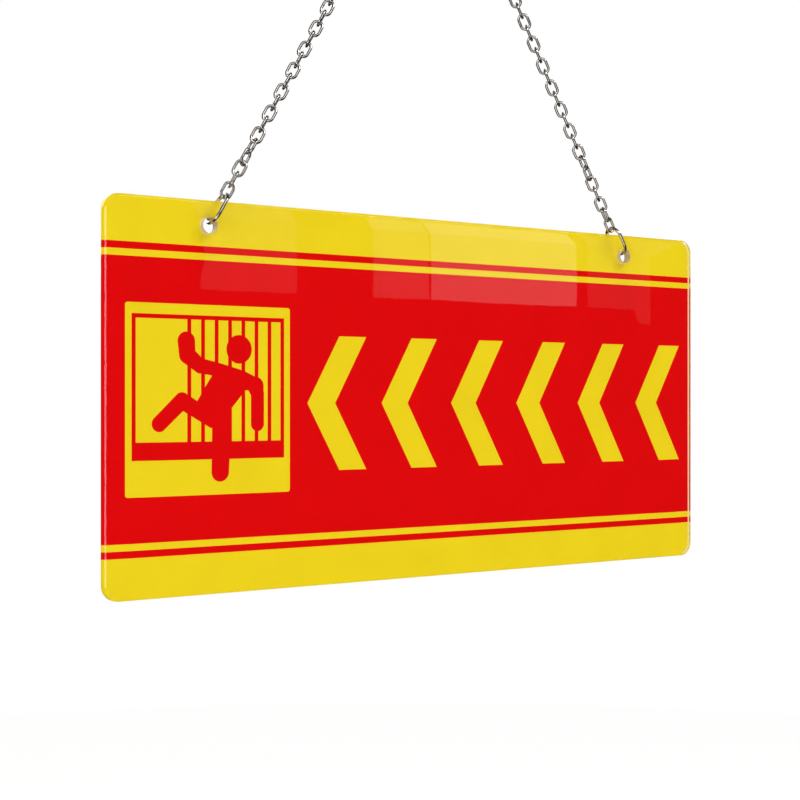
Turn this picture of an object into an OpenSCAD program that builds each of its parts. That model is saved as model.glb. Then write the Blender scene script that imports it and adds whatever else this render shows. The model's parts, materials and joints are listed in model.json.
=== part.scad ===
// Hanging window sign: a clear acrylic board printed on its back in red and
// yellow, two oval rings through its top corners, and one steel chain that runs
// from ring to ring over a hook. Millimetres, +Z up, the printed face looks
// towards -Y. The origin is where the hook bears on the hooked link.

/* [Board] */
// Width of the acrylic board
board_w = 300; // [240:5:360]
// Height of the acrylic board
board_h = 150; // [130:5:200]
// Thickness of the acrylic sheet
board_t = 4; // [3:0.5:5]
// Radius of the board's corners
corner_r = 6; // [3:0.5:12]
// Polished bevel along the board's edges
edge_bevel = 0.5; // [0.2:0.1:0.9]

/* [Holes] */
// Diameter of the two hanging holes
hole_d = 6; // [5:0.5:8]
// Distance from the board's top edge to the middle of each hole
hole_drop = 9.5; // [7:0.5:11]
// Distance from each end of the board to the middle of its hole
hole_inset = 43; // [35:1:60]

/* [Print] */
// Thickness of the red ink on the back of the board
red_t = 0.1; // [0.05:0.05:0.3]
// Thickness of the yellow ink behind the red
yellow_t = 0.1; // [0.05:0.05:0.3]
// Bare acrylic between the board's bevel and the edge of the print
print_margin = 0.1; // [0.1:0.1:0.5]
// Bare acrylic between each hole and the print
hole_margin = 0.25; // [0.2:0.05:1]
// How far the print sits below the middle of the board
print_drop = 0.9; // [0:0.1:1.5]
// Height of the yellow band along the top and bottom edges
band_h = 16.4; // [14:0.2:20]
// Height of the thin red stripe beside each yellow band
red_stripe_h = 2.7; // [1.5:0.1:4]
// Height of the thin yellow stripe beside each red one
yellow_stripe_h = 2.6; // [1.5:0.1:4]

/* [Window symbol] */
// Width of the yellow square that carries the window symbol
symbol_w = 70.1; // [60:0.1:80]
// Height of that square
symbol_h = 72.5; // [66:0.1:80]
// Distance from the board's left edge to the square
symbol_left = 9.2; // [7:0.1:16]
// Radius of the square's corners
symbol_r = 1; // [0.5:0.1:3]
// Yellow border outside the red window frame at its top and sides
frame_border = 2.6; // [2:0.1:4]
// Extra yellow border above the frame
frame_top_border = 4.1; // [3:0.1:6]
// Width of the red window frame
frame_line = 1.65; // [1:0.05:2.5]
// Height of the glazed part of the window
window_h = 46.4; // [42:0.2:50]
// Height of the red sill under the window
sill_h = 6.8; // [5:0.2:9]
// Number of thin red bars across the window
bar_count = 7; // [4:1:9]
// Width of each bar
bar_w = 1.65; // [1:0.05:2.2]
// Distance from one bar to the next
bar_pitch = 5.79; // [5:0.01:6]
// Height of the climbing figure, from its standing foot to its raised hand
figure_h = 57.2; // [50:0.2:60]
// Distance from the square's left edge to the middle of the standing leg
figure_left = 39.3; // [34:0.1:44]
// How far the standing foot reaches below the sill
foot_drop = 8.6; // [6:0.1:12]

/* [Chevrons] */
// Width of one chevron
chevron_w = 28; // [20:1:29]
// Height of one chevron
chevron_h = 54; // [40:1:60]
// Width of a chevron's arms, measured along the row
chevron_arm = 13; // [8:1:16]
// Distance from one chevron to the next
chevron_pitch = 35.6; // [30:0.2:38]
// Gap between the window symbol and the first chevron
chevron_gap = 8.1; // [6:0.1:12]
// Least red left between the last chevron and the board's right edge
chevron_end = 5; // [4:0.5:20]
// How far the row sits below the middle of the print
chevron_drop = 1.3; // [0:0.1:4]

/* [Chain] */
// Wire diameter of the chain links
link_wire = 1.2; // [1:0.1:1.4]
// Outer length of a link
link_len = 7.8; // [7.2:0.1:8.6]
// Outer width of a link
link_w = 5.2; // [4.6:0.1:5.8]
// Number of links in each leg, between the hooked link and the ring
leg_links = 37; // [31:1:43]
// Links between the left ring and the quarter turn in the left leg
left_twist_at = 3; // [2:1:12]
// Links between the right ring and the quarter turn in the right leg
right_twist_at = 5; // [2:1:12]
// How far the left leg's links are turned out of the board's plane, to the left
left_facing = 26; // [0:1:45]
// How far the right leg's links are turned out of it, the same way
right_facing = 42; // [0:1:45]
// Running clearance where one wire hangs on another or in a hole
seat_gap = 0.15; // [0.1:0.05:0.25]

/* [Rings] */
// Wire diameter of the oval rings
ring_wire = 1.5; // [1.3:0.1:1.7]
// Outer length of a ring
ring_len = 14.6; // [14:0.2:17]
// Outer width of a ring
ring_w = 10; // [9.4:0.2:11]

/* [Hidden] */
// Facets of a wire's section, of a link's bends and of larger round shapes
wire_fn = 16;
bend_fn = 32;
round_fn = 64;
steel = "silver";
sign_red = [0.9, 0.06, 0.06];
sign_yellow = [0.95, 0.84, 0.1];

// A link's wire is followed along its centreline
link_bend_r = (link_w - link_wire) / 2;
link_reach = link_len - link_wire;
link_step = link_reach - link_wire - seat_gap;
hooked_bend_x = (link_len - link_w) / 2;
hooked_z = -(link_w / 2 - link_wire);

ring_bend_r = (ring_w - ring_wire) / 2;
ring_inner_r = ring_w / 2 - ring_wire;
ring_reach = ring_len - ring_wire;

// Distances down a leg from the bend centre of the hooked link to each piece
swing_pivot = link_bend_r;
first_link = swing_pivot - link_wire - seat_gap + link_reach / 2;
last_wire = first_link + (leg_links - 1) * link_step + link_reach / 2;
ring_mid = last_wire - (link_wire + ring_wire) / 2 - seat_gap + ring_reach / 2;
ring_foot = ring_mid + ring_reach / 2;
tilt_pivot = ring_foot - ring_bend_r;

// The ring's lower bend rests on both rims of the hole
ring_seat_r = ring_inner_r - seat_gap;
ring_seat = sqrt(ring_seat_r * ring_seat_r - board_t * board_t / 4);
leg_run = tilt_pivot + ring_seat + hole_d / 2;

// The legs lean so that they meet the holes
hole_spacing = board_w - 2 * hole_inset;
lean = asin((hole_spacing / 2 - hooked_bend_x) / leg_run);
hole_z = hooked_z - leg_run * cos(lean);
board_z = hole_z + hole_drop - board_h / 2;

// The print lies on the flat back of the board, inside the bevel
print_inset = edge_bevel + print_margin;
print_w = board_w - 2 * print_inset;
print_h = board_h - 2 * print_inset;
print_r = corner_r - print_inset;
print_hole_d = hole_d + 2 * hole_margin;
back_y = board_t / 2;
stripe_top = board_h / 2 - band_h;
field_top = stripe_top - red_stripe_h - yellow_stripe_h;

// The figure is drawn in hundredths of its height; a joint stands this much
// over its limbs, so that their corners end in it
joint_bulge = 0.07;

// The window symbol's own frame, from its lower left corner
symbol_x = symbol_left - board_w / 2;
symbol_z = -symbol_h / 2;
frame_x = frame_border;
frame_w = symbol_w - 2 * frame_border;
frame_top = symbol_h - frame_top_border;
window_top = frame_top - frame_line;
window_foot = window_top - window_h;
frame_foot = window_foot - sill_h;
last_bar_x = frame_x + frame_w - frame_line / 2;

chevron_x = symbol_x + symbol_w + chevron_gap;
chevron_count = 1
    + floor((board_w / 2 - chevron_end - chevron_w - chevron_x) / chevron_pitch);

link_pairs = ceil(leg_links / 2);

// An oval of round wire in the XZ plane, its long way along Z
module wire_oval(len, width, wire) {
    bend_r = (width - wire) / 2;
    half_straight = (len - width) / 2;
    for (side = [-1, 1]) {
        translate([side * bend_r, 0, 0])
            cylinder(d = wire, h = 2 * half_straight, center = true, $fn = wire_fn);
        translate([0, 0, side * half_straight])
            rotate([side * 90, 0, 0])
                rotate_extrude(angle = 180, $fn = bend_fn)
                    translate([bend_r, 0])
                        circle(d = wire, $fn = wire_fn);
    }
}

// Puts a piece at a distance down one leg, in line with it; side is -1 or 1
module on_leg(side, distance) {
    translate([side * hooked_bend_x, 0, hooked_z])
        rotate([0, -side * lean, 0])
            translate([0, 0, -distance])
                children();
}

// Each link stands square to the one before, but for the quarter turn that
// three joints share where a leg with an odd number of links is twisted. At
// each end of a leg the end link keeps square to what it hangs on, and the next
// two joints turn the rest to face out of the board's plane.
function link_turn(number, from_ring, twist_at, facing) =
    90 * (from_ring - 1)
    - (leg_links % 2 == 1 ? 30 * min(max(from_ring - twist_at, 0), 3) : 0)
    - facing / 2 * min(number - 1, from_ring - 1, 2);

module leg_link(side, number, twist_at, facing) {
    on_leg(side, first_link + (number - 1) * link_step)
        rotate([0, 0, link_turn(number, leg_links + 1 - number, twist_at, facing)])
            wire_oval(link_len, link_w, link_wire);
}

// Two neighbouring links of one leg, counted down from the hooked link
module link_pair(side, pair, twist_at, facing) {
    color(steel)
        for (number = [2 * pair - 1 : min(2 * pair, leg_links)])
            leg_link(side, number, twist_at, facing);
}

module ring(side) {
    color(steel)
        on_leg(side, ring_mid)
            rotate([0, 0, 90])
                wire_oval(ring_len, ring_w, ring_wire);
}

module hooked_link() {
    color(steel)
        translate([0, 0, hooked_z])
            rotate([0, 90, 0])
                wire_oval(link_len, link_w, link_wire);
}

// The two holes as cutters through the whole board and print
module holes(diameter) {
    for (side = [-1, 1])
        translate([side * hole_spacing / 2, 0, hole_z])
            rotate([90, 0, 0])
                cylinder(d = diameter, h = 4 * board_t, center = true, $fn = round_fn);
}

// A bar of the board's section with bevelled edges, extruded along Z
module bevelled_bar(width, length) {
    x = width / 2;
    y = board_t / 2;
    b = edge_bevel;
    linear_extrude(length, center = true)
        polygon([
            [-x, b - y], [b - x, -y], [x - b, -y], [x, b - y],
            [x, y - b], [x - b, y], [b - x, y], [-x, y - b],
        ]);
}

module rounded_corner() {
    y = board_t / 2;
    b = edge_bevel;
    rotate([90, 0, 0])
        rotate_extrude($fn = round_fn)
            polygon([
                [0, -y], [corner_r - b, -y], [corner_r, b - y],
                [corner_r, y - b], [corner_r - b, y], [0, y],
            ]);
}

module acrylic_board() {
    color("white", 0.35)
        difference() {
            translate([0, 0, board_z]) {
                bevelled_bar(board_w, board_h - 2 * corner_r);
                rotate([0, 90, 0])
                    bevelled_bar(board_h, board_w - 2 * corner_r);
                for (x = [-1, 1], z = [-1, 1])
                    translate([x * (board_w / 2 - corner_r), 0, z * (board_h / 2 - corner_r)])
                        rounded_corner();
            }
            holes(hole_d);
        }
}

module rounded_sheet(width, height, radius) {
    square([width - 2 * radius, height], center = true);
    square([width, height - 2 * radius], center = true);
    for (x = [-1, 1], z = [-1, 1])
        translate([x * (width / 2 - radius), z * (height / 2 - radius)])
            circle(radius, $fn = round_fn);
}

// A limb of the figure, from joint to joint; each joint is [x, y, width]
module limb(joints) {
    for (i = [0:len(joints) - 2]) {
        from = joints[i];
        to = joints[i + 1];
        run = [to.x - from.x, to.y - from.y];
        across = [-run.y, run.x] / norm(run) / 2;
        polygon([
            [from.x, from.y] + from.z * across, [from.x, from.y] - from.z * across,
            [to.x, to.y] - to.z * across, [to.x, to.y] + to.z * across,
        ]);
    }
    for (joint = joints)
        translate([joint.x, joint.y])
            circle(d = joint.z + joint_bulge, $fn = round_fn);
}

// The figure that climbs over the sill, from the standing foot up
module figure() {
    translate([14.3, 88.9])
        circle(9.7, $fn = round_fn);
    polygon([
        [-15.4, 72.5], [-6.2, 71], [-12.1, 62.1], [-14.6, 57.9], [-17.7, 53.2], [-10.7, 42.2],
        [-4.4, 35.9], [-4.4, 27.2], [6.7, 27.2], [8.3, 48.8], [15.8, 57.4], [18.6, 61.2],
        [24.8, 61.4], [28, 69.9], [18, 74.5], [-2, 79.9], [-12.5, 82.1],
    ]);
    limb([[-25.1, 93.6, 12.7], [-24.4, 84.6, 12], [-14.9, 77.1, 9.8]]);
    limb([[26.9, 64.2, 12.6], [28.4, 58.6, 10.1], [28.4, 38.5, 10.1]]);
    limb([[-44.7, 38.9, 10.6], [-28.3, 54.2, 11.2], [-5.7, 41, 10.3]]);
    limb([[1.1, 39.4, 14.3], [0, 6.5, 13.1]]);
}

module window_frame() {
    difference() {
        translate([frame_x, frame_foot])
            square([frame_w, frame_top - frame_foot]);
        translate([frame_x + frame_line, window_foot])
            square([frame_w - 2 * frame_line, window_h]);
    }
    for (i = [1:bar_count])
        translate([last_bar_x - i * bar_pitch - bar_w / 2, window_foot])
            square([bar_w, window_h]);
}

module window_symbol() {
    window_frame();
    translate([figure_left, frame_foot - foot_drop])
        scale(figure_h / 100)
            figure();
}

// A chevron that points at the window symbol
module chevron() {
    top = chevron_h / 2;
    polygon([
        [0, 0], [chevron_w - chevron_arm, top], [chevron_w, top],
        [chevron_arm, 0], [chevron_w, -top], [chevron_w - chevron_arm, -top],
    ]);
}

// Everything that is printed red, seen from the front
module red_shape() {
    difference() {
        square([print_w, 2 * stripe_top], center = true);
        for (side = [-1, 1])
            translate([0, side * (field_top + yellow_stripe_h / 2)])
                square([board_w, yellow_stripe_h], center = true);
        translate([symbol_x + symbol_w / 2, 0])
            rounded_sheet(symbol_w, symbol_h, symbol_r);
        for (i = [0:chevron_count - 1])
            translate([chevron_x + i * chevron_pitch, -chevron_drop])
                chevron();
    }
    translate([symbol_x, symbol_z])
        window_symbol();
}

// Stands a flat shape up on the back of the board, from one depth to another
module on_back(from, to) {
    translate([0, to, board_z])
        rotate([90, 0, 0])
            linear_extrude(to - from)
                children();
}

module red_layer() {
    on_back(back_y, back_y + red_t)
        translate([0, -print_drop])
            red_shape();
}

module red_print() {
    color(sign_red)
        red_layer();
}

module yellow_coat() {
    color(sign_yellow)
        difference() {
            on_back(back_y, back_y + red_t + yellow_t)
                rounded_sheet(print_w, print_h, print_r);
            red_layer();
            holes(print_hole_d);
        }
}

acrylic_board();
red_print();
yellow_coat();
ring(-1);  // left_ring
ring(1);  // right_ring
hooked_link();
for (i = [1:link_pairs])
    link_pair(-1, i, left_twist_at, left_facing);
for (i = [1:link_pairs])
    link_pair(1, i, right_twist_at, right_facing);
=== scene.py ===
"""Looks of a hanging window sign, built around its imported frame.

A clear acrylic board with two inks on its back hangs by two rings on a steel chain.
"""

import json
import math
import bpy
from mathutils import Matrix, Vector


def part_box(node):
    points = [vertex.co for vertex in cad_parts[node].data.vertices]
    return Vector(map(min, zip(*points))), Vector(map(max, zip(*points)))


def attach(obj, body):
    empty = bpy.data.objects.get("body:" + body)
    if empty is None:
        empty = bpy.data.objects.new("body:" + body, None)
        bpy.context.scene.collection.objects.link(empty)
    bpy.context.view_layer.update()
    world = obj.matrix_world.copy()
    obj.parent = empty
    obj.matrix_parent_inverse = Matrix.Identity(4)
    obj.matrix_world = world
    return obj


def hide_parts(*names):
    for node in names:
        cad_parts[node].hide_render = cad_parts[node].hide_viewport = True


bl_info = {
    "name": "Hanging Window Sign",
    "version": (1, 0, 0),
    "blender": (4, 5, 0),
    "location": "3D View > Sidebar > Window Sign",
    "description": "Builds a clear acrylic sign, printed on its back, that hangs on a steel chain",
    "category": "Add Mesh",
}

import bmesh
import bpy
from mathutils import Matrix, Vector

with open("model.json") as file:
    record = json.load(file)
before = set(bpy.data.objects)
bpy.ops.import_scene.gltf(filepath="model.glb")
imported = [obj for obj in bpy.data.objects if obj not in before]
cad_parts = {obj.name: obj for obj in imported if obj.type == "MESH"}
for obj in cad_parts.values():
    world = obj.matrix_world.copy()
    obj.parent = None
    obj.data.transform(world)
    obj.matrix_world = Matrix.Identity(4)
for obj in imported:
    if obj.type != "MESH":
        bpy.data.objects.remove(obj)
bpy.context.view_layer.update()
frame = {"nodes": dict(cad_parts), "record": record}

MM = 0.001
BOARD_LOW, BOARD_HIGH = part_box("acrylic_board")
HOOKED_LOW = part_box("hooked_link")[0]
BODIES = frame["record"]["behaviour"]["bodies"]

# How finely the round shapes are drawn
CORNER_STEPS = 20
HOLE_STEPS = 64
BEVEL_STEPS = 4
FLOOR_STEPS = 96
LINK_STEPS = {"around": 20, "bend": 14, "straight": 6}
RING_STEPS = {"around": 28, "bend": 24, "straight": 8}

# The slope of every bevel, and the angle from which an edge looks sharp
BEVEL_SLOPE = math.radians(45)
SHARP_EDGE = math.radians(32)

# A weld fades out along the wire over this many diameters, on the side of the
# link that lies beyond this share of the bends' radius
WELD_REACH = 0.55
WELD_SIDE = 0.9

# Joints near the ring that share out one missing quarter turn, and joints at each
# end of a leg that share its turn to face
QUARTER_TURN = 90
EASED_JOINTS = 3
FACING_JOINTS = 2

# The soft lamps: name, place, power in watts, width and height
LAMPS = (
    ("window_light", (0.80, -1.10, 0.80), 9.6, (0.9, 0.5)),
    ("left_softbox", (-1.55, -0.66, -0.2), 3.6, (0.35, 0.9)),
    ("front_softbox", (-1.1, -1.45, 0.1), 3.2, (1.0, 0.9)),
    ("upper_softbox", (-0.2, -1.35, 0.72), 3.0, (0.9, 0.6)),
    ("low_softbox", (-0.60, -1.05, -0.9), 2.6, (0.9, 0.6)),
    ("back_softbox", (-0.2, 1.8, 0.6), 13.0, (1.6, 1.4)),
)
OVERHEAD_STRENGTH = 3.3
OVERHEAD_SPREAD = math.radians(35)

# The faint window that the board's face mirrors: left and right edge of each
# pane, and how bright its lower and its upper half are
WINDOW_PANES = (
    (0.545, 0.697, 0.30, 0.45), (0.826, 0.926, 0.50, 0.95),
    (0.930, 1.219, 1.00, 1.55), (1.243, 1.474, 0.22, 0.34),
)
WINDOW_Y = -1.3
PANE_FOOT = -0.12
PANE_HEIGHT = 0.13

SENSOR_WIDTH = 36.0
NEAREST_SEEN = 0.01
FARTHEST_SEEN = 200.0


# Settings


def a_length(name, description, size, low, high):
    """A length whose default and limits are given in millimetres."""
    return bpy.props.FloatProperty(
        name=name, description=description, default=size * MM,
        min=low * MM, max=high * MM, subtype="DISTANCE", unit="LENGTH", precision=5,
    )


def a_share(name, description, default, high=1.0):
    return bpy.props.FloatProperty(
        name=name, description=description, default=default,
        min=0.0, max=high, subtype="FACTOR", precision=3,
    )


def an_angle(name, description, degrees):
    return bpy.props.FloatProperty(
        name=name, description=description, default=math.radians(degrees),
        min=-math.pi, max=math.pi, subtype="ANGLE", unit="ROTATION",
    )


def a_count(name, description, default, high):
    return bpy.props.IntProperty(
        name=name, description=description, default=default, min=1, max=high,
    )


def a_colour(name, description, default):
    return bpy.props.FloatVectorProperty(
        name=name, description=description, default=default,
        min=0.0, max=1.0, size=3, subtype="COLOR",
    )


class WindowSignBoard(bpy.types.PropertyGroup):
    """Sizes and finish of the clear board."""

    corner_radius: a_length("Corner radius", "Radius of the board's corners", 6, 1, 20)
    bevel: a_length("Bevel", "Polished bevel along the board's front edges", 0.8, 0.4, 1.5)
    edge_round: a_length(
        "Edge round", "Radius left on that bevel's two edges by polishing", 0.5, 0.1, 1,
    )
    back_bevel: a_length("Back bevel", "Bevel along the board's back edges", 0.5, 0.1, 1)
    hole_diameter: a_length("Hole diameter", "Diameter of the two hanging holes", 6, 4, 10)
    hole_drop: a_length("Hole drop", "From the top edge to the middle of a hole", 9.5, 6, 20)
    hole_inset: a_length(
        "Hole inset", "From an end of the board to the middle of its hole", 43, 10, 100,
    )
    hole_chamfer: a_length("Hole chamfer", "Broken edge of each hole", 0.18, 0.05, 0.5)
    ink_contact: a_length("Ink contact", "How deep the clear back sits in the ink", 0.02, 0, 0.1)
    ior: bpy.props.FloatProperty(
        name="IOR", description="Refractive index of acrylic", default=1.49, min=1.3, max=1.7,
    )
    clear: a_colour("Clear", "Tint of the clear acrylic", (0.985, 0.99, 0.985))
    drilled: a_colour(
        "Drilled", "Milky tone that drilling leaves on the holes' walls", (0.52, 0.45, 0.38),
    )
    milkiness: a_share("Milkiness", "Light that the drilled walls hold back", 0.65)
    gloss: a_share("Roughness", "Roughness of the polished faces", 0.012)
    sawn: a_share("Hole roughness", "Roughness of the drilled walls", 0.3)


class WindowSignInk(bpy.types.PropertyGroup):
    """Colours of the two inks."""

    red: a_colour("Red", "Red ink", (0.75, 0.0012, 0.0022))
    yellow: a_colour("Yellow", "Yellow ink", (0.88, 0.665, 0.012))
    mottle: a_share("Mottle", "Unevenness of the inks", 0.035)
    roughness: a_share("Roughness", "Roughness of the dry ink", 0.42)


class WindowSignSteel(bpy.types.PropertyGroup):
    """Sizes and finish of the links and rings."""

    link_wire: a_length("Link wire", "Wire diameter of the chain links", 1.2, 0.8, 2)
    link_length: a_length("Link length", "Outer length of a link", 7.8, 5, 20)
    link_width: a_length("Link width", "Outer width of a link", 5.2, 3, 10)
    links: a_count("Links", "Links in each leg of the chain", 37, 60)
    left_twist: a_count("Left twist", "Links below the eased turn in the left leg", 3, 12)
    right_twist: a_count("Right twist", "Links below the eased turn in the right leg", 5, 12)
    left_facing: an_angle(
        "Left facing", "Turn of the left leg's links out of the board's plane", 26,
    )
    right_facing: an_angle(
        "Right facing", "Turn of the right leg's links out of the board's plane", 42,
    )
    seat_gap: a_length("Seat gap", "Clearance where wires bear on each other", 0.15, 0, 0.5)
    ring_wire: a_length("Ring wire", "Wire diameter of the rings", 1.5, 0.8, 3)
    ring_length: a_length("Ring length", "Outer length of a ring", 14.6, 10, 30)
    ring_width: a_length("Ring width", "Outer width of a ring", 10, 5, 20)
    weld: a_share("Weld", "How far a weld is upset, as a share of the wire", 0.05, 0.2)
    metal: a_colour("Metal", "Colour of the polished steel", (0.74, 0.71, 0.68))
    roughness: a_share("Roughness", "Roughness of the polished steel", 0.15)


class WindowSignStage(bpy.types.PropertyGroup):
    """The floor, the lights and the camera."""

    floor_drop: a_length("Floor drop", "Height of the hook above the floor", 1400, 400, 5000)
    floor_radius: a_length("Floor radius", "Radius of the round floor", 5000, 1000, 50000)
    floor: a_colour("Floor", "Colour of the floor", (0.93, 0.93, 0.93))
    backdrop: a_colour("Backdrop", "Colour seen behind the sign", (1.0, 1.0, 1.0))
    room: a_colour("Room", "Light that comes from all around", (0.032, 0.025, 0.021))
    behind: a_colour("Behind", "Room seen through the clear acrylic", (0.85, 0.72, 0.40))
    camera_at: bpy.props.FloatVectorProperty(
        name="Camera", description="Where the camera stands",
        default=(-0.3675, -0.5078, -0.2485), size=3, subtype="TRANSLATION", unit="LENGTH",
    )
    camera_turn: an_angle(
        "Camera turn", "Turn of the camera about the vertical, to the right", 34.53,
    )
    lens: bpy.props.FloatProperty(
        name="Lens", description="Focal length", default=66.76, min=10.0, max=300.0,
        subtype="DISTANCE_CAMERA", unit="CAMERA",
    )


class WindowSignSettings(bpy.types.PropertyGroup):
    """All that a user changes on the sign."""

    board: bpy.props.PointerProperty(
        type=WindowSignBoard, name="Board", description="The clear board",
    )
    ink: bpy.props.PointerProperty(
        type=WindowSignInk, name="Ink", description="The inks on the back of the board",
    )
    steel: bpy.props.PointerProperty(
        type=WindowSignSteel, name="Steel", description="The chain and the rings",
    )
    stage: bpy.props.PointerProperty(
        type=WindowSignStage, name="Stage", description="Floor, lights and camera",
    )


# Materials


class Finish:
    """A material and its node tree, with short ways to add and join nodes."""

    def __init__(self, name):
        self.material = bpy.data.materials.new(name)
        self.material.use_nodes = True
        self.tree = self.material.node_tree
        self.tree.nodes.clear()
        self.output = self.node("ShaderNodeOutputMaterial")

    def node(self, kind, links=None, **settings):
        """A new node. A setting is one of its properties, or else the value of a socket."""
        made = self.tree.nodes.new(kind)
        for name, value in settings.items():
            if name in made.bl_rna.properties:
                setattr(made, name, value)
            else:
                made.inputs[name.replace("_", " ")].default_value = value
        for name, source in (links or {}).items():
            self.join(source, made.inputs[name])
        return made

    def join(self, source, target):
        self.tree.links.new(source, target)

    def show(self, shader):
        self.join(shader, self.output.inputs["Surface"])
        return self.material

    def shader(self, base, **values):
        return self.node("ShaderNodeBsdfPrincipled", Base_Color=(*base, 1.0), **values)

    def place(self):
        """Where a point is on the sign, in metres."""
        return self.node("ShaderNodeTexCoord").outputs["Object"]

    def noise(self, vector, scale, detail, roughness=0.5):
        return self.node(
            "ShaderNodeTexNoise", {"Vector": vector},
            Scale=scale, Detail=detail, Roughness=roughness,
        ).outputs["Fac"]

    def stretched_noise(self, vector, scale, detail):
        """Noise with a scale of its own along each axis."""
        mapped = self.node("ShaderNodeMapping", {"Vector": vector}, Scale=scale)
        return self.noise(mapped.outputs["Vector"], scale=1.0, detail=detail)

    def maths(self, operation, first, second):
        made = self.node("ShaderNodeMath", {0: first, 1: second}, operation=operation)
        return made.outputs[0]

    def spread(self, source, low, high, start=0.0, end=1.0):
        """The range from start to end, stretched to the range from low to high."""
        return self.node(
            "ShaderNodeMapRange", {"Value": source},
            From_Min=start, From_Max=end, To_Min=low, To_Max=high,
        ).outputs["Result"]

    def lightness(self, tone, value):
        """A colour that is lighter or darker from place to place."""
        made = self.node("ShaderNodeHueSaturation", {"Value": value}, Color=(*tone, 1.0))
        return made.outputs["Color"]

    def bump(self, height, distance, strength):
        return self.node(
            "ShaderNodeBump", {"Height": height}, Distance=distance, Strength=strength,
        ).outputs["Normal"]


def clear_acrylic(board):
    finish = Finish("clear_acrylic")
    here = finish.place()
    glass = finish.shader(
        board.clear, Transmission_Weight=1.0, IOR=board.ior, Specular_IOR_Level=0.5,
    )
    # Cast sheet is faintly wavy and has fine wiping marks that catch the light
    marks = finish.noise(here, scale=900.0, detail=4.0, roughness=0.6)
    dull = finish.spread(marks, board.gloss * 0.5, board.gloss * 1.8, start=0.3, end=0.7)
    finish.join(dull, glass.inputs["Roughness"])
    waves = finish.noise(here, scale=28.0, detail=1.0)
    finish.join(finish.bump(waves, 0.06 * MM, strength=0.35), glass.inputs["Normal"])
    # Lamps and the light between the faces reach the ink straight through the sheet
    through = finish.node("ShaderNodeBsdfTransparent")
    path = finish.node("ShaderNodeLightPath")
    lit = finish.maths("MAXIMUM", path.outputs["Is Shadow Ray"], path.outputs["Is Diffuse Ray"])
    mixed = finish.node(
        "ShaderNodeMixShader", {0: lit, 1: glass.outputs["BSDF"], 2: through.outputs["BSDF"]},
    )
    return finish.show(mixed.outputs["Shader"])


def drilled_acrylic(board):
    finish = Finish("drilled_acrylic")
    glass = finish.shader(
        board.drilled, Transmission_Weight=1.0 - board.milkiness, IOR=board.ior,
    )
    # The drill leaves fine rings across the wall
    rings = finish.stretched_noise(finish.place(), scale=(60.0, 5200.0, 60.0), detail=2.0)
    dull = finish.spread(rings, board.sawn * 0.7, board.sawn * 1.4)
    finish.join(dull, glass.inputs["Roughness"])
    finish.join(finish.bump(rings, 0.04 * MM, strength=0.6), glass.inputs["Normal"])
    return finish.show(glass.outputs["BSDF"])


def dried_ink(name, tone, settings):
    finish = Finish(name)
    here = finish.place()
    coat = finish.shader(tone, Specular_IOR_Level=0.03)
    # Clouds of thicker and thinner ink, and the grain of the printed film
    clouds = finish.noise(here, scale=42.0, detail=3.0)
    grain = finish.noise(here, scale=2600.0, detail=2.0)
    both = finish.maths("ADD", clouds, grain)
    density = finish.spread(both, 1.0 - settings.mottle, 1.0 + settings.mottle, start=0.7, end=1.3)
    finish.join(finish.lightness(tone, density), coat.inputs["Base Color"])
    rough = settings.roughness
    dull = finish.spread(grain, rough * 0.85, rough * 1.15, start=0.3, end=0.7)
    finish.join(dull, coat.inputs["Roughness"])
    finish.join(finish.bump(grain, 0.012 * MM, strength=0.5), coat.inputs["Normal"])
    return finish.show(coat.outputs["BSDF"])


def polished_steel(name, settings):
    finish = Finish(name)
    here = finish.place()
    along = finish.node("ShaderNodeTexCoord").outputs["UV"]
    metal = finish.shader(settings.metal, Metallic=1.0)
    # Lines that the drawing die left along the wire, tumbling marks and faint stains
    drawn = finish.stretched_noise(along, scale=(1.2, 60.0, 1.0), detail=2.0)
    tumbled = finish.noise(here, scale=3000.0, detail=3.0, roughness=0.6)
    stains = finish.noise(here, scale=240.0, detail=2.0)
    both = finish.maths("ADD", drawn, tumbled)
    rough = settings.roughness
    dull = finish.spread(both, rough * 0.7, rough * 1.5, start=0.6, end=1.4)
    finish.join(dull, metal.inputs["Roughness"])
    finish.join(finish.bump(drawn, 0.012 * MM, strength=0.15), metal.inputs["Normal"])
    shade = finish.spread(stains, 0.86, 1.06, start=0.3, end=0.7)
    finish.join(finish.lightness(settings.metal, shade), metal.inputs["Base Color"])
    return finish.show(metal.outputs["BSDF"])


def painted_floor(tone):
    finish = Finish("studio_floor")
    paint = finish.shader(tone, Roughness=0.9, Specular_IOR_Level=0.1)
    return finish.show(paint.outputs["BSDF"])


# Shapes


def add_piece(bm, name, materials):
    """Turns a closed bmesh into an object whose faces point outwards."""
    if any(not e.is_manifold for e in bm.edges):
        raise RuntimeError(f"{name} is not a closed solid")
    bmesh.ops.recalc_face_normals(bm, faces=bm.faces)
    mesh = bpy.data.meshes.new(name)
    bm.to_mesh(mesh)
    bm.free()
    mesh.shade_smooth()
    mesh.set_sharp_from_angle(angle=SHARP_EDGE)
    for material in materials:
        mesh.materials.append(material)
    piece = bpy.data.objects.new(name, mesh)
    bpy.context.scene.collection.objects.link(piece)
    return piece


def ring_of(bm, points):
    return [bm.verts.new(p) for p in points]


def join_rings(bm, first, second):
    """A band of faces between two closed rings of as many points."""
    count = len(first)
    return [
        bm.faces.new((first[i], first[(i + 1) % count], second[(i + 1) % count], second[i]))
        for i in range(count)
    ]


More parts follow.
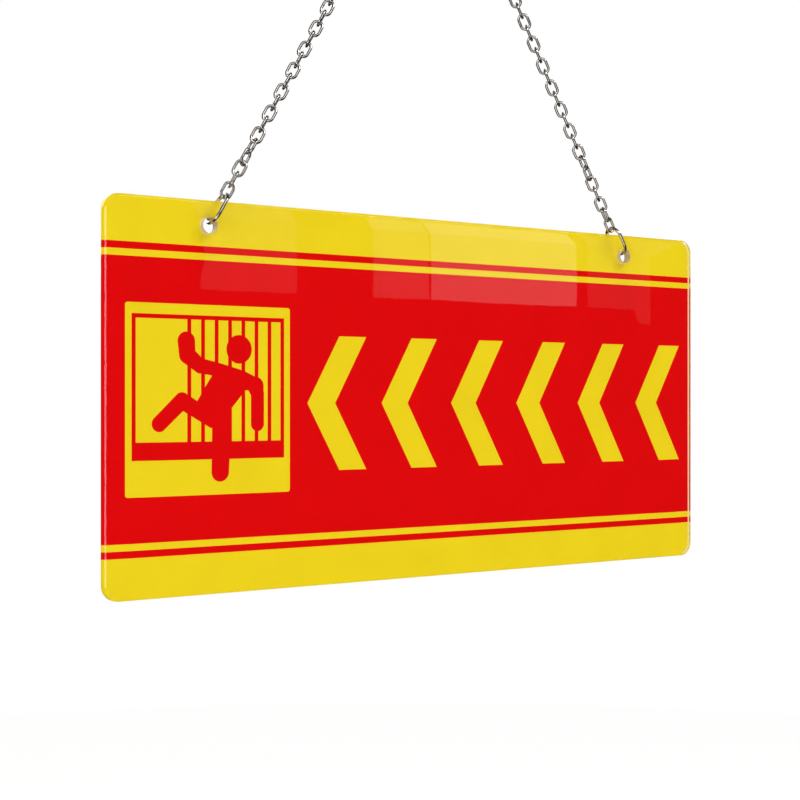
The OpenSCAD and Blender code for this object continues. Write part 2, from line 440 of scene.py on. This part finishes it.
def rounded_outline(low, high, radius, inset):
    """Points round a rectangle with round corners in the XZ plane, from its lower right."""
    points = []
    corners = (
        (high.x - radius, low.z + radius, -90), (high.x - radius, high.z - radius, 0),
        (low.x + radius, high.z - radius, 90), (low.x + radius, low.z + radius, 180),
    )
    for x, z, start in corners:
        for step in range(CORNER_STEPS + 1):
            angle = math.radians(start + 90 * step / CORNER_STEPS)
            points.append((
                x + (radius - inset) * math.cos(angle), z + (radius - inset) * math.sin(angle),
            ))
    return points


def circle_points(x, z, radius):
    angles = [2 * math.pi * step / HOLE_STEPS for step in range(HOLE_STEPS)]
    return [(x + radius * math.cos(a), z + radius * math.sin(a)) for a in angles]


def edge_profile(bevel, radius=0.0):
    """Depth and inset of each point of a bevel, from the face to the wall.

    With a radius, the bevel's two edges are rounded.
    """
    if not radius:
        return [(0.0, bevel), (bevel, 0.0)]
    reach = radius * math.tan(BEVEL_SLOPE / 2)
    turns = [BEVEL_SLOPE * step / BEVEL_STEPS for step in range(BEVEL_STEPS + 1)]
    shoulder = [
        (radius * (1 - math.cos(t)), bevel + reach - radius * math.sin(t)) for t in turns
    ]
    return shoulder + [(inset, depth) for depth, inset in reversed(shoulder)]


def clear_board_mesh(board):
    """The sheet with its bevelled edge and its two drilled holes."""
    bm = bmesh.new()
    front = BOARD_LOW.y
    back = BOARD_HIGH.y + board.ink_contact
    hole_z = BOARD_HIGH.z - board.hole_drop
    hole_r = board.hole_diameter / 2

    def levels(shape, near, far):
        """Rings of points from the front face, through the wall, to the back face."""
        steps = [(front + depth, inset) for depth, inset in near]
        steps += [(back - depth, inset) for depth, inset in reversed(far)]
        return [ring_of(bm, [(x, y, z) for x, z in shape(inset)]) for y, inset in steps]

    edge = levels(
        lambda inset: rounded_outline(BOARD_LOW, BOARD_HIGH, board.corner_radius, inset),
        edge_profile(board.bevel, board.edge_round), edge_profile(board.back_bevel),
    )
    rims = [edge]
    drilled = edge_profile(board.hole_chamfer)
    for x in (BOARD_LOW.x + board.hole_inset, BOARD_HIGH.x - board.hole_inset):
        rims.append(levels(
            lambda inset: circle_points(x, hole_z, hole_r + inset), drilled, drilled,
        ))
    for rim in rims:
        for first, second in zip(rim, rim[1:]):
            for face in join_rings(bm, first, second):
                face.material_index = 0 if rim is edge else 1
    for level in (0, -1):
        borders = []
        for rim in rims:
            ring = rim[level]
            borders += [bm.edges.get(ends) for ends in zip(ring, ring[1:] + ring[:1])]
        bmesh.ops.triangle_fill(bm, use_beauty=True, use_dissolve=False, edges=borders)
    return bm


def oval_path(bend_r, half, bend, straight):
    """Points along the middle of an oval's wire, up its right side first."""
    path = []
    for side in (1, -1):
        for step in range(straight):
            z = -half + 2 * half * step / straight
            path.append(Vector((side * bend_r, 0, side * z)))
        for step in range(bend):
            angle = math.pi * step / bend
            z = half + bend_r * math.sin(angle)
            path.append(Vector((side * bend_r * math.cos(angle), 0, side * z)))
    return path


def add_wire_oval(bm, uv, turn, length, width, wire, weld, around, bend, straight):
    """One closed oval of round wire, its long way along Z in the XZ plane before the turn."""
    bend_r = (width - wire) / 2
    path = oval_path(bend_r, (length - width) / 2, bend, straight)
    count = len(path)
    across = Vector((0, 1, 0))
    rings = []
    for i, point in enumerate(path):
        ahead = (path[(i + 1) % count] - path[i - 1]).normalized()
        out = across.cross(ahead)
        # The ends of the wire are welded together in the middle of one long side. The
        # weld stands out towards the inside of the oval, and the wire is thinner across
        near_weld = 0.0
        if point.x > WELD_SIDE * bend_r:
            near_weld = weld * math.exp(-((point.z / (WELD_REACH * wire)) ** 2))
        section = []
        for k in range(around):
            angle = 2 * math.pi * k / around
            outwards = math.cos(angle)
            if outwards < 0:
                outwards *= 1 + near_weld
            sideways = math.sin(angle) * (1 - near_weld)
            section.append(turn @ (point + wire / 2 * (outwards * out + sideways * across)))
        rings.append(ring_of(bm, section))
    for i in range(count):
        for k, face in enumerate(join_rings(bm, rings[i], rings[(i + 1) % count])):
            corners = ((i, k), (i, k + 1), (i + 1, k + 1), (i + 1, k))
            for loop, (u, v) in zip(face.loops, corners):
                loop[uv].uv = (u / count, v / around)


def add_ovals(name, turns, size, weld, steps, finish):
    """One piece with an oval of wire at each of the places in turns."""
    bm = bmesh.new()
    uv = bm.loops.layers.uv.new("along_wire")
    for turn in turns:
        add_wire_oval(bm, uv, turn, *size, weld, **steps)
    return add_piece(bm, name, [finish])


# The chain's line


def leg_lean(sign):
    """The angle from the vertical at which a leg runs down to its hole."""
    board = sign.board
    steel = sign.steel
    reach = BOARD_HIGH.x - board.hole_inset - (steel.link_length - steel.link_width) / 2
    drop = HOOKED_LOW.z + steel.link_width / 2 - (BOARD_HIGH.z - board.hole_drop)
    return math.atan2(reach, drop)


def leg_place(side, distance, sign):
    """Where a piece goes that hangs a distance down one leg, in line with it."""
    steel = sign.steel
    bend_x = (steel.link_length - steel.link_width) / 2
    hooked_z = HOOKED_LOW.z + steel.link_width / 2
    return (
        Matrix.Translation((side * bend_x, 0, hooked_z))
        @ Matrix.Rotation(-side * leg_lean(sign), 4, "Y")
        @ Matrix.Translation((0, 0, -distance))
    )


def link_turn(number, links, twist_at, facing):
    """The turn of a link about its leg, so that it stands square to the next.

    A leg with an odd number of links leaves out one quarter turn, shared by a few
    joints near the ring. A few joints at each end turn the leg's links to face.
    """
    from_ring = links + 1 - number
    eased = 0
    if links % 2:
        eased = QUARTER_TURN / EASED_JOINTS * min(max(from_ring - twist_at, 0), EASED_JOINTS)
    faced = facing / FACING_JOINTS * min(number - 1, from_ring - 1, FACING_JOINTS)
    return math.radians(QUARTER_TURN * (from_ring - 1) - eased) - faced


def link_distance(number, steel):
    """How far down its leg the middle of a link hangs."""
    reach = steel.link_length - steel.link_wire
    first = (steel.link_width - steel.link_wire) / 2 - steel.link_wire - steel.seat_gap + reach / 2
    return first + (number - 1) * (reach - steel.link_wire - steel.seat_gap)


def ring_distance(steel):
    """How far down its leg the middle of a ring hangs."""
    last_wire = link_distance(steel.links, steel) + (steel.link_length - steel.link_wire) / 2
    return (
        last_wire - (steel.link_wire + steel.ring_wire) / 2 - steel.seat_gap
        + (steel.ring_length - steel.ring_wire) / 2
    )


# Operators


class WINDOWSIGN_OT_board(bpy.types.Operator):
    """Builds the clear acrylic board with its bevel and two holes"""

    bl_idname = "window_sign.board"
    bl_label = "Clear board"

    def execute(self, context):
        board = context.scene.window_sign.board
        piece = add_piece(
            clear_board_mesh(board), "clear_board", [clear_acrylic(board), drilled_acrylic(board)],
        )
        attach(piece, "board")
        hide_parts("acrylic_board")
        return {"FINISHED"}


class WINDOWSIGN_OT_print(bpy.types.Operator):
    """Gives the red print and the yellow coat behind it their inks"""

    bl_idname = "window_sign.print"
    bl_label = "Print"

    def execute(self, context):
        settings = context.scene.window_sign.ink
        for node, tone in (("red_print", settings.red), ("yellow_coat", settings.yellow)):
            data = frame["nodes"][node].data
            data.materials.clear()
            data.materials.append(dried_ink(f"{node}_ink", tone, settings))
        return {"FINISHED"}


class WINDOWSIGN_OT_chain(bpy.types.Operator):
    """Builds the hooked link and the two legs of the chain"""

    bl_idname = "window_sign.chain"
    bl_label = "Chain"

    def execute(self, context):
        sign = context.scene.window_sign
        steel = sign.steel
        finish = polished_steel("chain_steel", steel)
        hooked_at = Matrix.Translation((0, 0, HOOKED_LOW.z + steel.link_width / 2))
        lying = Matrix.Rotation(math.radians(90), 4, "Y")
        self.links("top_link", [hooked_at @ lying], steel, finish, "hook_link", ["hooked_link"])
        legs = (
            ("left", -1, steel.left_twist, steel.left_facing),
            ("right", 1, steel.right_twist, steel.right_facing),
        )
        for name, side, twist_at, facing in legs:
            turns = [
                leg_place(side, link_distance(number, steel), sign)
                @ Matrix.Rotation(link_turn(number, steel.links, twist_at, facing), 4, "Z")
                for number in range(1, steel.links + 1)
            ]
            body = f"{name}_leg"
            self.links(f"{name}_chain", turns, steel, finish, body, BODIES[body])
        return {"FINISHED"}

    def links(self, name, turns, steel, finish, body, nodes):
        size = (steel.link_length, steel.link_width, steel.link_wire)
        piece = add_ovals(name, turns, size, steel.weld, LINK_STEPS, finish)
        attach(piece, body)
        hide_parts(*nodes)


class WINDOWSIGN_OT_rings(bpy.types.Operator):
    """Builds the two oval rings through the holes of the board"""

    bl_idname = "window_sign.rings"
    bl_label = "Rings"

    def execute(self, context):
        sign = context.scene.window_sign
        steel = sign.steel
        finish = polished_steel("ring_steel", steel)
        size = (steel.ring_length, steel.ring_width, steel.ring_wire)
        square_on = Matrix.Rotation(math.radians(90), 4, "Z")
        for name, side in (("left", -1), ("right", 1)):
            turn = leg_place(side, ring_distance(steel), sign) @ square_on
            piece = add_ovals(
                f"{name}_oval_ring", [turn], size, steel.weld, RING_STEPS, finish,
            )
            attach(piece, f"{name}_ring")
            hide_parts(f"{name}_ring")
        return {"FINISHED"}


class WINDOWSIGN_OT_stage(bpy.types.Operator):
    """Sets up the floor, the soft lights and the camera"""

    bl_idname = "window_sign.stage"
    bl_label = "Stage"

    def execute(self, context):
        stage = context.scene.window_sign.stage
        context.scene.view_settings.view_transform = "Standard"
        self.floor(stage)
        self.room(context.scene, stage)
        self.overhead_light()
        target = Vector((0, 0, (BOARD_LOW.z + BOARD_HIGH.z) / 2))
        for name, at, power, size in LAMPS:
            self.lamp(name, Vector(at), target, power, size)
        self.window()
        self.camera(context.scene, stage)
        return {"FINISHED"}

    def floor(self, stage):
        bm = bmesh.new()
        bmesh.ops.create_circle(
            bm, cap_ends=True, segments=FLOOR_STEPS, radius=stage.floor_radius,
        )
        mesh = bpy.data.meshes.new("studio_floor")
        bm.to_mesh(mesh)
        bm.free()
        mesh.materials.append(painted_floor(stage.floor))
        floor = bpy.data.objects.new("studio_floor", mesh)
        floor.location = (0, 0, -stage.floor_drop)
        # The polished steel mirrors the lamps, and not the bright floor
        floor.visible_glossy = False
        bpy.context.scene.collection.objects.link(floor)

    def room(self, scene, stage):
        """A dim room for the light, and a white backdrop for the eye."""
        world = bpy.data.worlds.new("studio_room")
        world.use_nodes = True
        nodes = world.node_tree.nodes
        links = world.node_tree.links
        nodes.clear()
        shades = []
        for tone in (stage.room, stage.behind, stage.backdrop):
            shade = nodes.new("ShaderNodeBackground")
            shade.inputs["Color"].default_value = (*tone, 1.0)
            shades.append(shade.outputs[0])
        path = nodes.new("ShaderNodeLightPath")
        shown = shades[0]
        for ray, shade in zip(("Is Transmission Ray", "Is Camera Ray"), shades[1:]):
            mix = nodes.new("ShaderNodeMixShader")
            links.new(path.outputs[ray], mix.inputs[0])
            links.new(shown, mix.inputs[1])
            links.new(shade, mix.inputs[2])
            shown = mix.outputs[0]
        output = nodes.new("ShaderNodeOutputWorld")
        links.new(shown, output.inputs[0])
        scene.world = world

    def overhead_light(self):
        """Wide, even light from straight above, which lights the floor and barely the board."""
        light = bpy.data.lights.new("overhead_light", "SUN")
        light.energy = OVERHEAD_STRENGTH
        light.angle = OVERHEAD_SPREAD
        lamp = bpy.data.objects.new("overhead_light", light)
        lamp.visible_glossy = False
        lamp.visible_transmission = False
        bpy.context.scene.collection.objects.link(lamp)

    def window(self):
        """Weak lamps where the board's face mirrors a window, two to a pane."""
        forward = Vector((0, 1, 0))
        for number, (left, right, *glows) in enumerate(WINDOW_PANES, 1):
            size = (right - left, PANE_HEIGHT)
            for row, (half, glow) in enumerate(zip(("low", "high"), glows)):
                middle_z = PANE_FOOT + (row + 0.5) * PANE_HEIGHT
                at = Vector(((left + right) / 2, WINDOW_Y, middle_z))
                # A flat lamp of brightness 1 gives pi watts for each square metre
                power = glow * math.pi * size[0] * size[1]
                self.lamp(f"{half}_pane_{number}", at, at + forward, power, size)

    def lamp(self, name, at, target, power, size):
        """A soft rectangular lamp that faces its target and that no camera sees."""
        light = bpy.data.lights.new(name, "AREA")
        light.shape = "RECTANGLE"
        light.size, light.size_y = size
        light.energy = power
        lamp = bpy.data.objects.new(name, light)
        lamp.visible_camera = False
        lamp.location = at
        lamp.rotation_euler = (target - at).to_track_quat("-Z", "Y").to_euler()
        bpy.context.scene.collection.objects.link(lamp)

    def camera(self, scene, stage):
        data = bpy.data.cameras.new("camera")
        data.lens = stage.lens
        data.sensor_width = SENSOR_WIDTH
        data.clip_start = NEAREST_SEEN
        data.clip_end = FARTHEST_SEEN
        camera = bpy.data.objects.new("camera", data)
        camera.location = stage.camera_at
        camera.rotation_euler = (math.radians(90), 0, -stage.camera_turn)
        scene.collection.objects.link(camera)
        scene.camera = camera


class VIEW3D_PT_window_sign(bpy.types.Panel):
    """Lists the sign's pieces and their sizes"""

    bl_label = "Window Sign"
    bl_space_type = "VIEW_3D"
    bl_region_type = "UI"
    bl_category = "Window Sign"

    def draw(self, context):
        settings = context.scene.window_sign
        for operator, group in PIECES:
            box = self.layout.box()
            box.operator(operator.bl_idname)
            if group:
                shown = getattr(settings, group)
                for name in shown.__annotations__:
                    box.prop(shown, name)


PIECES = (
    (WINDOWSIGN_OT_stage, "stage"),
    (WINDOWSIGN_OT_board, "board"),
    (WINDOWSIGN_OT_print, "ink"),
    (WINDOWSIGN_OT_chain, "steel"),
    (WINDOWSIGN_OT_rings, None),
)
CLASSES = (
    WindowSignBoard, WindowSignInk, WindowSignSteel, WindowSignStage, WindowSignSettings,
    *(operator for operator, _ in PIECES), VIEW3D_PT_window_sign,
)


def register():
    for cls in CLASSES:
        bpy.utils.register_class(cls)
    bpy.types.Scene.window_sign = bpy.props.PointerProperty(
        type=WindowSignSettings, name="Window sign", description="Settings of the window sign",
    )


def unregister():
    del bpy.types.Scene.window_sign
    for cls in reversed(CLASSES):
        bpy.utils.unregister_class(cls)


def main():
    register()
    bpy.ops.window_sign.stage()
    bpy.ops.window_sign.board()
    bpy.ops.window_sign.print()
    bpy.ops.window_sign.chain()
    bpy.ops.window_sign.rings()


if __name__ == "__main__":
    main()
